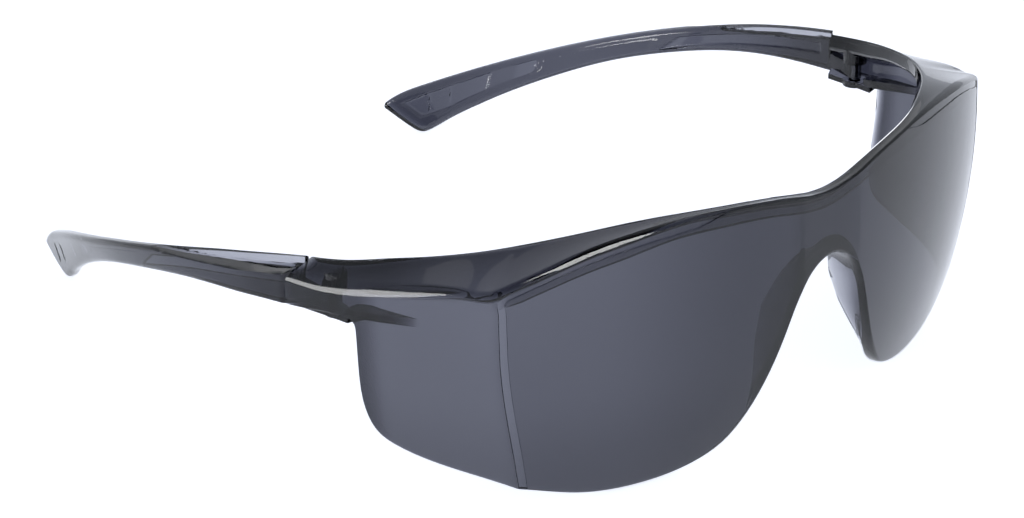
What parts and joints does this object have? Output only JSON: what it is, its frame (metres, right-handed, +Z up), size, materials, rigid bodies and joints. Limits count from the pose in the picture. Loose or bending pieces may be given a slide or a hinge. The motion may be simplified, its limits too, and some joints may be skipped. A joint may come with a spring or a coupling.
{
  "type": "safety glasses",
  "caption": "Wrap-around safety glasses with a one-piece tinted shield, brow ledge, side shields and folding temples.",
  "frame": {"origin": "on the resting surface, under the middle of the open glasses", "axes": "+X to the wearer's left, -Y to the front, +Z up"},
  "size_m": [0.1576, 0.1626, 0.0527],
  "materials": {
    "tinted_shield": "clear smoke-grey polycarbonate, glossy",
    "tinted_temple": "clear smoke-grey polycarbonate, glossy",
    "screw_steel": "plain turned steel"
  },
  "bodies": {
    "shield": {"front_shield": "tinted_shield", "hinge_screw_left": "screw_steel", "hinge_screw_right": "screw_steel"},
    "left_temple": {"temple_left": "tinted_temple"},
    "right_temple": {"temple_right": "tinted_temple"}
  },
  "joints": [
    {"name": "fold_left", "type": "hinge", "parent": "shield", "child": "left_temple", "pos_m": [0.0737, -0.02768, 0.0355], "axis": [0, 0, 1], "range_deg": [0, 98]},
    {"name": "fold_right", "type": "hinge", "parent": "shield", "child": "right_temple", "pos_m": [-0.0737, -0.02768, 0.0355], "axis": [0, 0, -1], "range_deg": [0, 86]}
  ]
}
